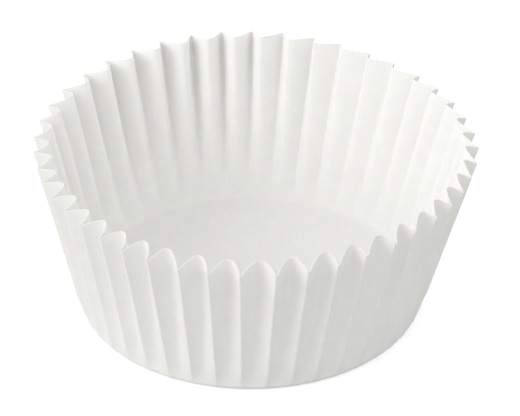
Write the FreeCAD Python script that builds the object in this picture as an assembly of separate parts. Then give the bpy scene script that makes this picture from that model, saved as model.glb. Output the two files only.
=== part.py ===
# Fluted paper cupcake liner, pressed from one round blank of thin paper.
# Own frame: origin at the centre of the floor's underside, +Z up, a ridge on +Y.
import math
import os

import FreeCAD
import Part

# Sizes in millimetres and degrees. Radii and lengths are those of the middle of the sheet.
FLUTES = 45
FLOOR_RADIUS = 25.4
CORNER_RADIUS = 1.4
WALL_LEAN = 13.5
WALL_SLANT = 26.1
PAPER_THICKNESS = 0.08

# Lengths of paper past the floor's edge at which the flutes begin and come to full depth.
FLUTE_START = 0.8
FLUTE_FULL = 4.6

# The ridges go the longer way round the corner, so their rim ends lower than the valleys'.
RIDGE_LAG = 0.33

# Shares of half a flute's paper in its ridge bend and its valley bend. The flank between them
# is bowed: it is steepest at the ridge, and has this share of that slope at the valley.
RIDGE_SHARE = 0.06
VALLEY_SHARE = 0.14
VALLEY_TURN = 0.60

# Flat strips across each bend, and rows up the corner, the run-in and the rest of the wall.
RIDGE_STRIPS = 1
FLANK_STRIPS = 2
VALLEY_STRIPS = 1
CORNER_ROWS = 2
RUN_IN_ROWS = 1
WALL_ROWS = 3

SOLVER_STEPS = 60
STEEPEST_FLANK = 89.0
FLAT = 1e-9
SEW_TOLERANCE = 0.001

CORNER_TURN = math.radians(90.0 - WALL_LEAN)
CORNER_PAPER = CORNER_RADIUS * CORNER_TURN
RIM_REACH = CORNER_PAPER + WALL_SLANT
HALF_PITCH_ANGLE = math.pi / FLUTES
FIRST_RIDGE_ANGLE = math.pi / 2
UP = FreeCAD.Vector(0, 0, 1)
CENTRE = FreeCAD.Vector(0, 0, 0)


def meridian(reach):
    """Radius, height and slope of the mean wall, a given length of paper out from the floor."""
    if reach <= CORNER_PAPER:
        slope = reach / CORNER_RADIUS
        radius = FLOOR_RADIUS + CORNER_RADIUS * math.sin(slope)
        height = CORNER_RADIUS * (1 - math.cos(slope))
        return radius, height, slope
    corner_radius, corner_height, slope = meridian(CORNER_PAPER)
    run = reach - CORNER_PAPER
    radius = corner_radius + run * math.cos(slope)
    height = corner_height + run * math.sin(slope)
    return radius, height, slope


def bent_paper(tilt):
    """Half a flute of unit paper at the given steepest slope: across, down and slope."""
    bends = (
        (RIDGE_SHARE, RIDGE_STRIPS, 0.0, tilt),
        (1 - RIDGE_SHARE - VALLEY_SHARE, FLANK_STRIPS, tilt, VALLEY_TURN * tilt),
        (VALLEY_SHARE, VALLEY_STRIPS, VALLEY_TURN * tilt, 0.0),
    )
    across = down = 0.0
    points = [(across, down, 0.0)]
    for share, strips, first, last in bends:
        turn = (last - first) / strips
        radius = share / strips / turn
        for strip in range(strips):
            start = first + turn * strip
            end = start + turn
            across += radius * (math.sin(end) - math.sin(start))
            down += radius * (math.cos(start) - math.cos(end))
            points.append((across, down, end))
    return points


def flank_angle(fullness):
    """Steepest slope at which half a flute's paper fits into its pitch."""
    low = 0.0
    high = math.radians(STEEPEST_FLANK)
    for _ in range(SOLVER_STEPS):
        tilt = (low + high) / 2
        if bent_paper(tilt)[-1][0] > fullness:
            low = tilt
        else:
            high = tilt
    return (low + high) / 2


def half_flute(reach):
    """Half a flute of the middle sheet: across, out from the mean wall, slope and lag."""
    pitch = HALF_PITCH_ANGLE * meridian(reach)[0]
    paper = HALF_PITCH_ANGLE * (FLOOR_RADIUS + reach)
    fluting = (reach - FLUTE_START) / (FLUTE_FULL - FLUTE_START)
    fluting = min(max(fluting, 0.0), 1.0)
    tilt = max(flank_angle(pitch / paper) * fluting, FLAT)
    points = bent_paper(tilt)
    width, depth, _ = points[-1]
    half = []
    for across, down, slope in points:
        crest = 1 - 2 * across / width
        out = (depth / 2 - down) * paper
        half.append((across * pitch / width, out, slope, RIDGE_LAG * fluting * crest))
    return half


def section(reach, offset):
    """One flute's outline at a given reach, from one ridge top to the next."""
    radius, height, climb = meridian(reach)
    half = half_flute(reach)
    width = 2 * half[-1][0]
    mirrored = [(width - across, out, -slope, lag) for across, out, slope, lag in half[:-1]]
    corners = []
    for across, out, slope, lag in half + mirrored[::-1]:
        angle = FIRST_RIDGE_ANGLE + (across + offset * math.sin(slope)) / radius
        stand = out + offset * math.cos(slope)
        distance = radius + stand * math.sin(climb) - lag * math.cos(climb)
        level = PAPER_THICKNESS / 2 + height - stand * math.cos(climb) - lag * math.sin(climb)
        x = distance * math.cos(angle)
        y = distance * math.sin(angle)
        corners.append(FreeCAD.Vector(x, y, level))
    return corners


def flat_face(*corners):
    """A plane face on three corners."""
    return Part.Face(Part.makePolygon(list(corners) + [corners[0]]))


def band(lower, upper):
    """Flat faces between two outlines of one flute, creased alike on both sides of its valley."""
    faces = []
    columns = len(lower) - 1
    for column in range(columns):
        low, low_next = lower[column], lower[column + 1]
        high, high_next = upper[column], upper[column + 1]
        if column < columns / 2:
            faces.append(flat_face(low, low_next, high_next))
            faces.append(flat_face(low, high_next, high))
        else:
            faces.append(flat_face(low, low_next, high))
            faces.append(flat_face(low_next, high_next, high))
    return faces


def skin(offset):
    """Corner and wall of one flute on one face of the paper, with its floor and rim outlines."""
    stretches = (
        (0.0, CORNER_PAPER, CORNER_ROWS),
        (CORNER_PAPER, FLUTE_FULL, RUN_IN_ROWS),
        (FLUTE_FULL, RIM_REACH, WALL_ROWS),
    )
    outlines = []
    for start, end, rows in stretches:
        for row in range(rows):
            outlines.append(section(start + (end - start) * row / rows, offset))
    outlines.append(section(RIM_REACH, offset))
    faces = []
    for lower, upper in zip(outlines, outlines[1:]):
        faces += band(lower, upper)
    return faces, outlines[0], outlines[-1]


def around(shapes):
    """The shapes repeated once for every flute."""
    copies = []
    for flute in range(FLUTES):
        for shape in shapes:
            copy = shape.copy()
            copy.rotate(CENTRE, UP, 360.0 * flute / FLUTES)
            copies.append(copy)
    return copies


def paper_liner():
    """The closed solid sheet: outer skin, inner skin, rim edge and the two floor faces."""
    outer_faces, outer_floor, outer_rim = skin(PAPER_THICKNESS / 2)
    inner_faces, inner_floor, inner_rim = skin(-PAPER_THICKNESS / 2)
    faces = around(outer_faces + inner_faces + band(outer_rim, inner_rim))
    for floor in (outer_floor, inner_floor):
        rings = around(Part.makePolygon(floor).Edges)
        faces.append(Part.Face(Part.Wire(Part.__sortEdges__(rings))))
    sheet = Part.makeCompound(faces)
    sheet.sewShape(SEW_TOLERANCE)
    solid = Part.makeSolid(sheet.Shells[0])
    if solid.Volume < 0:
        solid.reverse()
    return solid


os.makedirs("parts", exist_ok=True)
liner = paper_liner()
print("valid", liner.isValid(), "closed", liner.isClosed(), "faces", len(liner.Faces))
print("volume", round(liner.Volume, 3), "area", round(liner.Area, 2), liner.BoundBox)
liner.exportStep("parts/paper_liner.step")
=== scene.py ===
# A white paper cupcake liner, standing empty on a plain white table in soft light.
import math
import random

import bpy
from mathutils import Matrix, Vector


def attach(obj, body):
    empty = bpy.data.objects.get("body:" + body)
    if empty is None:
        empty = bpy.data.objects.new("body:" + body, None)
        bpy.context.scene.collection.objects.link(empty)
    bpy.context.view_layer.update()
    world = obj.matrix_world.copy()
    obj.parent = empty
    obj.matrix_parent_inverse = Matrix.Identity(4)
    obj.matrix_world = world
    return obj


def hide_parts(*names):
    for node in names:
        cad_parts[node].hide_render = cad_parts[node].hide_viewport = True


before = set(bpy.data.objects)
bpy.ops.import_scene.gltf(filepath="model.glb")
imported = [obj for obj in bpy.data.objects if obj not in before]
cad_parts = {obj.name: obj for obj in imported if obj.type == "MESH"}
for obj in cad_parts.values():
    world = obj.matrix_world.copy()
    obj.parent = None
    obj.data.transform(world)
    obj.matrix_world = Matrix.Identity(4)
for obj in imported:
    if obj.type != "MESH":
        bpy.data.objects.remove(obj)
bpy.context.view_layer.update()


# The paper liner: one round sheet of thin white baking paper. Fluted tools press the flat
# blank into a cup, so the floor stays flat, and past it the paper gathers into 45 flutes
# up to the cut rim. Nothing is glued, so it stands a little uneven.
FLUTES = 45
CREASES = 2 * FLUTES
FLOOR_RADIUS = 0.0257
CORNER_RADIUS = 0.0010
WALL_LEAN = math.radians(13.5)
WALL_SLANT = 0.0264
PAPER_THICKNESS = 0.00008

# Shares of half a flute's paper in its ridge bend and its valley bend, the share of the
# steepest slope that is left at the valley bend, and the steepest slope there can be.
RIDGE_SHARE = 0.08
VALLEY_SHARE = 0.22
VALLEY_TURN = 0.60
STEEPEST_FLANK = math.radians(88)

# Lengths of paper past the floor's edge at which the flutes begin and come to full depth, the
# power by which they deepen between, and how far ridges slide down and valleys up the wall.
FLUTE_START = 0.0003
FLUTE_FULL = 0.0046
RUN_IN_EASE = 0.50
RIDGE_LAG = 0.00033

# Columns across a flute, how much closer they stand at its creases, and the rings of points.
COLUMNS_PER_FLUTE = 20
COLUMN_BUNCHING = 0.62
CENTRE_RADIUS = 0.0030
FLOOR_RINGS = (0.0080, 0.0130, 0.0180, 0.0222, 0.0246)
CORNER_ROWS = 6
RUN_IN_ROWS = 6
WALL_ROWS = 12

corner_turn = math.pi / 2 - WALL_LEAN
corner_paper = CORNER_RADIUS * corner_turn
rim_reach = corner_paper + WALL_SLANT
wall_rise = WALL_SLANT * math.sin(corner_turn)
half_pitch = math.pi / FLUTES

ring_radii = list(FLOOR_RINGS)
for start, end, rows in (
    (0.0, corner_paper, CORNER_ROWS),
    (corner_paper, FLUTE_FULL, RUN_IN_ROWS),
    (FLUTE_FULL, rim_reach, WALL_ROWS),
):
    for row in range(rows):
        ring_radii.append(FLOOR_RADIUS + start + (end - start) * row / rows)
ring_radii.append(FLOOR_RADIUS + rim_reach)

# The flat blank: a disc, drawn outwards ring by ring.
bpy.ops.object.select_all(action="DESELECT")
bpy.ops.mesh.primitive_circle_add(
    vertices=FLUTES * COLUMNS_PER_FLUTE, radius=CENTRE_RADIUS, fill_type="TRIFAN"
)
liner = bpy.context.object
liner.name = "paper_liner_sheet"
bpy.ops.object.mode_set(mode="EDIT")
bpy.ops.mesh.select_mode(type="EDGE")
bpy.ops.mesh.select_all(action="DESELECT")
bpy.ops.mesh.select_non_manifold(extend=False)
drawn_to = CENTRE_RADIUS
for ring in ring_radii:
    bpy.ops.mesh.extrude_edges_move(TRANSFORM_OT_translate={"value": (0, 0, 0)})
    growth = ring / drawn_to
    bpy.ops.transform.resize(value=(growth, growth, 1))
    drawn_to = ring
bpy.ops.object.mode_set(mode="OBJECT")

# How this one cup stands. Its rim is pushed aside, out of round and not level, and its flutes
# crowd in places. Its inner folds lean to one side and differ in depth, its ridges slide down
# more in front than at the back, and its wall bows inwards. Each row of three numbers is one
# wave: how often it goes round the cup, then its cosine and its sine part in metres.
RIM_OFFSET = (0.00048, 0.00059)
RIM_SWELL = (
    (2, -0.00030, -0.00016),
    (3, 0.00022, 0.00047),
    (4, 0.00008, -0.00010),
)
RIM_HEIGHT = (
    (1, -0.00004, 0.00007),
    (2, -0.00031, -0.00021),
    (3, 0.00007, -0.00029),
)
RIM_CROWDING = (
    (1, -0.00162, -0.00025),
    (2, 0.00008, -0.00048),
    (3, -0.00016, -0.00009),
)
FOLD_LEAN = (
    (0, 0.00054, 0.0),
    (1, 0.00009, 0.00006),
    (2, 0.00018, 0.00030),
    (3, -0.00029, -0.00015),
)
FOLD_DEPTH = (
    (0, 0.00017, 0.0),
    (1, -0.00040, 0.00042),
    (2, -0.00019, -0.00007),
    (3, 0.00011, 0.00001),
)
LAG_CHANGE = (
    (0, -0.00012, 0.0),
    (1, -0.00004, -0.00012),
    (2, 0.0, -0.00010),
)
WALL_BOW = 0.00014

# The radius, near the rim's, at which crowding and lean are measured. Then each crease's own
# turn, as a share of half a pitch, and its change of depth, as a share of that depth.
CROWDING_RADIUS = FLOOR_RADIUS + 0.3 * WALL_SLANT
RIDGE_TURN = 0.12
DEPTH_CHANGE = 0.05
UNEVEN_SEED = 45
PHASE = math.radians(1.04)

# Half a flute, from its ridge to its valley, is a tight bend, a bowed flank and a small bend.
# Each has a share of the paper, and a slope at each end, as a share of the steepest one.
BENDS = (
    (RIDGE_SHARE, 0.0, 1.0),
    (1 - RIDGE_SHARE - VALLEY_SHARE, 1.0, VALLEY_TURN),
    (VALLEY_SHARE, VALLEY_TURN, 0.0),
)

# How finely the tilt is solved, and the least amounts that the pressing tells apart.
TILT_STEPS = 40
FLAT_FULLNESS = 0.99999
LEAST_TILT = 1e-4
ROW_DIGITS = 7
ON_CREASE = 1e-6
FLAT_REACH = 1e-7

flute_random = random.Random(UNEVEN_SEED)
crease_turns = [flute_random.uniform(-RIDGE_TURN, RIDGE_TURN) for _ in range(CREASES)]
crease_depths = [flute_random.uniform(-DEPTH_CHANGE, DEPTH_CHANGE) for _ in range(CREASES)]


def slow_change(terms, angle):
    """Sum of a few waves round the cup."""
    return sum(c * math.cos(k * angle) + s * math.sin(k * angle) for k, c, s in terms)


def meridian(reach):
    """Radius, height and slope of the mean wall, a length of paper out from the floor."""
    if reach <= corner_paper:
        slope = max(reach, 0.0) / CORNER_RADIUS
        radius = FLOOR_RADIUS + CORNER_RADIUS * math.sin(slope) + min(reach, 0.0)
        return radius, CORNER_RADIUS * (1 - math.cos(slope)), slope
    run = reach - corner_paper
    radius = FLOOR_RADIUS + CORNER_RADIUS * math.sin(corner_turn) + run * math.cos(corner_turn)
    height = CORNER_RADIUS * (1 - math.cos(corner_turn)) + run * math.sin(corner_turn)
    return radius, height, corner_turn


def bent_paper(share, tilt):
    """Across and down from the ridge top, a share of the way along half a flute's paper."""
    across = down = 0.0
    for length, start, end in BENDS:
        part = min(max(share, 0.0), length)
        if part > 0:
            end = start + (end - start) * part / length
            start, end = start * tilt, end * tilt
            across += part * (math.sin(end) - math.sin(start)) / (end - start)
            down += part * (math.cos(start) - math.cos(end)) / (end - start)
        share -= length
    return across, down


def bend_outline(share, tilt):
    """The same place, as shares of the half flute's width and depth."""
    across, down = bent_paper(share, tilt)
    width, depth = bent_paper(1.0, tilt)
    return across / width, down / depth


def flank_tilt(fullness):
    """Steepest slope at which half a flute is this wide, as a share of its paper's length."""
    low, high = 0.0, STEEPEST_FLANK
    for _ in range(TILT_STEPS):
        tilt = (low + high) / 2
        if bent_paper(1.0, tilt)[0] > fullness:
            low = tilt
        else:
            high = tilt
    return (low + high) / 2


def crease_angle(crease, rise):
    """Angle of a ridge (even) or valley (odd) crease, a share of the way up the wall."""
    spaced = math.pi / 2 + PHASE + crease * half_pitch
    crowding = slow_change(RIM_CROWDING, spaced)
    if crease % 2 == 1:
        crowding += slow_change(FOLD_LEAN, spaced)
    crowding /= CROWDING_RADIUS
    turn = crease_turns[crease % CREASES] * half_pitch
    return spaced + rise * (crowding + turn)


def half_flute(crease, reach):
    """Tilt and depth of the paper from a crease to the next, and how far it has run in."""
    radius, height, _ = meridian(reach)
    rise = max(height, 0.0) / wall_rise
    pitch = radius * (crease_angle(crease + 1, rise) - crease_angle(crease, rise))
    fluting = (reach - FLUTE_START) / (FLUTE_FULL - FLUTE_START)
    fluting = max(0.0, min(1.0, fluting)) ** RUN_IN_EASE
    paper = (FLOOR_RADIUS + reach) * half_pitch
    fullness = min(pitch / paper, FLAT_FULLNESS)
    tilt = max(flank_tilt(fullness) * fluting, LEAST_TILT)
    return tilt, bent_paper(1.0, tilt)[1] * paper, fluting


pressed_rows = {}


def pressed_row(reach):
    """Half flutes and crease depths of one row of the wall, worked out once."""
    key = round(reach, ROW_DIGITS)
    if key not in pressed_rows:
        halves = [half_flute(crease, reach) for crease in range(CREASES)]
        depths = []
        for crease in range(CREASES):
            mean = (halves[crease - 1][1] + halves[crease][1]) / 2
            depths.append(mean * (1 + crease_depths[crease]))
        pressed_rows[key] = (halves, depths)
    return pressed_rows[key]


# Pressing: each point of the blank goes to its place on the cup.
for vertex in liner.data.vertices:
    flat_radius = math.hypot(vertex.co.x, vertex.co.y)
    if flat_radius < CENTRE_RADIUS / 2:
        vertex.co = Vector((0, 0, PAPER_THICKNESS / 2))
        continue

    # The crease before the point, and the point's share of the way from it to the next one.
    flutes_round = (math.atan2(vertex.co.y, vertex.co.x) - math.pi / 2) / (2 * half_pitch)
    half_place = (flutes_round * 2) % CREASES
    crease = int(half_place + ON_CREASE)
    share = max(0.0, min(1.0, half_place - crease))
    share -= COLUMN_BUNCHING * math.sin(2 * math.pi * share) / (2 * math.pi)
    crease %= CREASES
    valley_first = crease % 2 == 1

    reach = flat_radius - FLOOR_RADIUS
    radius, height, slope = meridian(reach)
    rise = height / wall_rise
    from_angle = crease_angle(crease, rise)
    to_angle = crease_angle(crease + 1, rise)
    out = lag = inward = 0.0
    across = share
    if reach > FLAT_REACH:
        halves, depths = pressed_row(reach)
        tilt, _, fluting = halves[crease]
        ridge_depth, valley_depth = depths[crease], depths[(crease + 1) % CREASES]
        across, down = bend_outline(1 - share if valley_first else share, tilt)
        if valley_first:
            across = 1 - across
            ridge_depth, valley_depth = valley_depth, ridge_depth
        inward = rise * down * slow_change(FOLD_DEPTH, from_angle)
        inward += WALL_BOW * math.sin(math.pi * min(rise, 1.0))
        out = ridge_depth / 2 * (1 - down) - valley_depth / 2 * down
        # While the flutes run in, their folds stand inwards, and the outside stays smooth.
        flute_depth = ridge_depth * (1 - down) + valley_depth * down
        out -= (1 - fluting) / 2 * flute_depth
        lag = RIDGE_LAG + slow_change(LAG_CHANGE, from_angle)
        lag *= (1 - 2 * down) * fluting

    angle = from_angle + (to_angle - from_angle) * across
    distance = radius + out * math.sin(slope) - lag * math.cos(slope) - inward
    distance += rise * slow_change(RIM_SWELL, angle)
    level = PAPER_THICKNESS / 2 + height - out * math.cos(slope) - lag * math.sin(slope)
    level += rise * slow_change(RIM_HEIGHT, angle)
    vertex.co = Vector(
        (
            distance * math.cos(angle) + rise * RIM_OFFSET[0],
            distance * math.sin(angle) + rise * RIM_OFFSET[1],
            level,
        )
    )

# The sheet gets its thickness, half to each side.
SMOOTH_BELOW = math.radians(50)

bpy.ops.object.mode_set(mode="EDIT")
bpy.ops.mesh.select_mode(type="FACE")
bpy.ops.mesh.select_all(action="SELECT")
bpy.ops.mesh.normals_make_consistent(inside=False)
bpy.ops.object.mode_set(mode="OBJECT")
paper_gauge = liner.modifiers.new("paper_gauge", "SOLIDIFY")
paper_gauge.thickness = PAPER_THICKNESS
paper_gauge.offset = 0.0
bpy.ops.object.modifier_apply(modifier="paper_gauge")
bpy.ops.object.shade_smooth_by_angle(angle=SMOOTH_BELOW)

# Uncoated white baking paper: matt, faintly warm, with fine fibres and a cloudy formation. A
# little light goes through it.
PAPER_WHITE = (0.914, 0.911, 0.892, 1.0)
PAPER_CLOUD = (0.864, 0.861, 0.839, 1.0)
PAPER_ROUGHNESS = 0.78
PAPER_SPECULAR = 0.25
CLOUD_SCALE = 420.0
CLOUD_DETAIL = 3.0
CLOUD_SPAN = (0.36, 0.64)
CLOUD_AND_FIBRE = 0.65
FIBRE_SCALE = 3400.0
FIBRE_DETAIL = 4.0
FIBRE_ROUGHNESS = 0.6
FIBRE_STRETCH = (1.0, 0.35, 1.0)
FIBRE_BUMP = 0.30
FIBRE_HEIGHT = 0.00002
GLOW_THROUGH = 0.60
GLOW_DEPTH = 0.00012
GLOW_RADIUS = (1.0, 1.0, 1.0)

paper = bpy.data.materials.new("white_baking_paper")
paper.use_nodes = True
nodes, links = paper.node_tree.nodes, paper.node_tree.links
surface = nodes["Principled BSDF"]
place = nodes.new("ShaderNodeTexCoord")
clouds = nodes.new("ShaderNodeTexNoise")
clouds.inputs["Scale"].default_value = CLOUD_SCALE
clouds.inputs["Detail"].default_value = CLOUD_DETAIL
links.new(place.outputs["Object"], clouds.inputs["Vector"])
stretch = nodes.new("ShaderNodeMapping")
stretch.inputs["Scale"].default_value = FIBRE_STRETCH
links.new(place.outputs["Object"], stretch.inputs["Vector"])
fibres = nodes.new("ShaderNodeTexNoise")
fibres.inputs["Scale"].default_value = FIBRE_SCALE
fibres.inputs["Detail"].default_value = FIBRE_DETAIL
fibres.inputs["Roughness"].default_value = FIBRE_ROUGHNESS
links.new(stretch.outputs["Vector"], fibres.inputs["Vector"])
formation = nodes.new("ShaderNodeMix")
formation.inputs["Factor"].default_value = CLOUD_AND_FIBRE
links.new(clouds.outputs["Fac"], formation.inputs["A"])
links.new(fibres.outputs["Fac"], formation.inputs["B"])
spread = nodes.new("ShaderNodeMapRange")
spread.inputs["From Min"].default_value = CLOUD_SPAN[0]
spread.inputs["From Max"].default_value = CLOUD_SPAN[1]
links.new(formation.outputs["Result"], spread.inputs["Value"])
tint = nodes.new("ShaderNodeMix")
tint.data_type = "RGBA"
tint.inputs["A"].default_value = PAPER_WHITE
tint.inputs["B"].default_value = PAPER_CLOUD
links.new(spread.outputs["Result"], tint.inputs["Factor"])
links.new(tint.outputs["Result"], surface.inputs["Base Color"])
relief = nodes.new("ShaderNodeBump")
relief.inputs["Strength"].default_value = FIBRE_BUMP
relief.inputs["Distance"].default_value = FIBRE_HEIGHT
links.new(fibres.outputs["Fac"], relief.inputs["Height"])
links.new(relief.outputs["Normal"], surface.inputs["Normal"])
surface.inputs["Roughness"].default_value = PAPER_ROUGHNESS
surface.inputs["Specular IOR Level"].default_value = PAPER_SPECULAR
surface.inputs["Subsurface Weight"].default_value = GLOW_THROUGH
surface.inputs["Subsurface Radius"].default_value = GLOW_RADIUS
surface.inputs["Subsurface Scale"].default_value = GLOW_DEPTH
liner.data.materials.append(paper)

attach(liner, "root")
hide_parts("paper_liner")


# The table: a plain matt white top, with no edge in view. Its glow shows only to the camera,
# mirrored or through clear things, so it is seen white and keeps a soft shadow of the cup.
# It lies a hair below the cup, so that their faces don't meet.
TABLE_HALF = 1.5
TABLE_DROP = 0.00002
TABLE_COLOUR = (0.54, 0.54, 0.54, 1.0)
TABLE_GLOW = 0.62

bpy.ops.object.select_all(action="DESELECT")
bpy.ops.mesh.primitive_plane_add(size=2 * TABLE_HALF, location=(0, 0, 0))
table = bpy.context.object
table.name = "table_top"
for vertex in table.data.vertices:
    vertex.co.z = -TABLE_DROP
top = bpy.data.materials.new("white_table_top")
top.use_nodes = True
nodes, links = top.node_tree.nodes, top.node_tree.links
nodes.remove(nodes["Principled BSDF"])
matt = nodes.new("ShaderNodeBsdfDiffuse")
matt.inputs["Color"].default_value = TABLE_COLOUR
glow = nodes.new("ShaderNodeEmission")
rays = nodes.new("ShaderNodeLightPath")
seen = nodes.new("ShaderNodeMath")
seen.operation = "MAXIMUM"
links.new(rays.outputs["Is Camera Ray"], seen.inputs[0])
links.new(rays.outputs["Is Glossy Ray"], seen.inputs[1])
seen_through = nodes.new("ShaderNodeMath")
seen_through.operation = "MAXIMUM"
links.new(seen.outputs["Value"], seen_through.inputs[0])
links.new(rays.outputs["Is Transmission Ray"], seen_through.inputs[1])
strength = nodes.new("ShaderNodeMath")
strength.operation = "MULTIPLY"
strength.inputs[1].default_value = TABLE_GLOW
links.new(seen_through.outputs["Value"], strength.inputs[0])
links.new(strength.outputs["Value"], glow.inputs["Strength"])
both = nodes.new("ShaderNodeAddShader")
links.new(matt.outputs["BSDF"], both.inputs[0])
links.new(glow.outputs["Emission"], both.inputs[1])
links.new(both.outputs["Shader"], nodes["Material Output"].inputs["Surface"])
table.data.materials.append(top)


# The light: a white studio with an even surround, which the camera sees as full white, and
# one square soft box on the left and a little in front, about 30 degrees above the table.
SURROUND = 0.915
SEEN_STRENGTH = 1.0
STUDIO_WHITE = (1.0, 1.0, 1.0, 1.0)
KEY_POWER = 2.56
KEY_SIZE = 0.48
KEY_PLACE = (-0.70, -0.42, 0.48)

world = bpy.data.worlds.new("white_studio")
bpy.context.scene.world = world
world.use_nodes = True
nodes, links = world.node_tree.nodes, world.node_tree.links
surround = nodes["Background"]
surround.inputs["Color"].default_value = STUDIO_WHITE
rays = nodes.new("ShaderNodeLightPath")
seen = nodes.new("ShaderNodeMapRange")
seen.inputs["To Min"].default_value = SURROUND
seen.inputs["To Max"].default_value = SEEN_STRENGTH
links.new(rays.outputs["Is Camera Ray"], seen.inputs["Value"])
links.new(seen.outputs["Result"], surround.inputs["Strength"])

key = bpy.data.objects.new("soft_box", bpy.data.lights.new("soft_box", "AREA"))
key.data.energy = KEY_POWER
key.data.size = KEY_SIZE
key.location = KEY_PLACE
key.rotation_euler = (-Vector(KEY_PLACE)).to_track_quat("-Z", "Y").to_euler()
bpy.context.scene.collection.objects.link(key)


# The camera: it looks down on the cup from the front, about an arm's length away, through a
# long lens. Its small shift places the cup in the frame.
CAMERA_RISE = math.radians(33.15)
CAMERA_DISTANCE = 0.450
CAMERA_LENS = 202.6
SENSOR_WIDTH = 36.0
CAMERA_SHIFT = (0.0179, 0.0230)
NEAREST_SEEN = 0.01
LOOKS_AT = Vector((0.0, 0.0, 0.013))

camera = bpy.data.objects.new("camera", bpy.data.cameras.new("camera"))
camera.data.sensor_width = SENSOR_WIDTH
camera.data.lens = CAMERA_LENS
camera.data.shift_x, camera.data.shift_y = CAMERA_SHIFT
camera.data.clip_start = NEAREST_SEEN
back = Vector((0, -math.cos(CAMERA_RISE), math.sin(CAMERA_RISE)))
camera.location = LOOKS_AT + back * CAMERA_DISTANCE
camera.rotation_euler = (-back).to_track_quat("-Z", "Y").to_euler()
bpy.context.scene.collection.objects.link(camera)
bpy.context.scene.camera = camera
bpy.context.scene.view_settings.view_transform = "Standard"
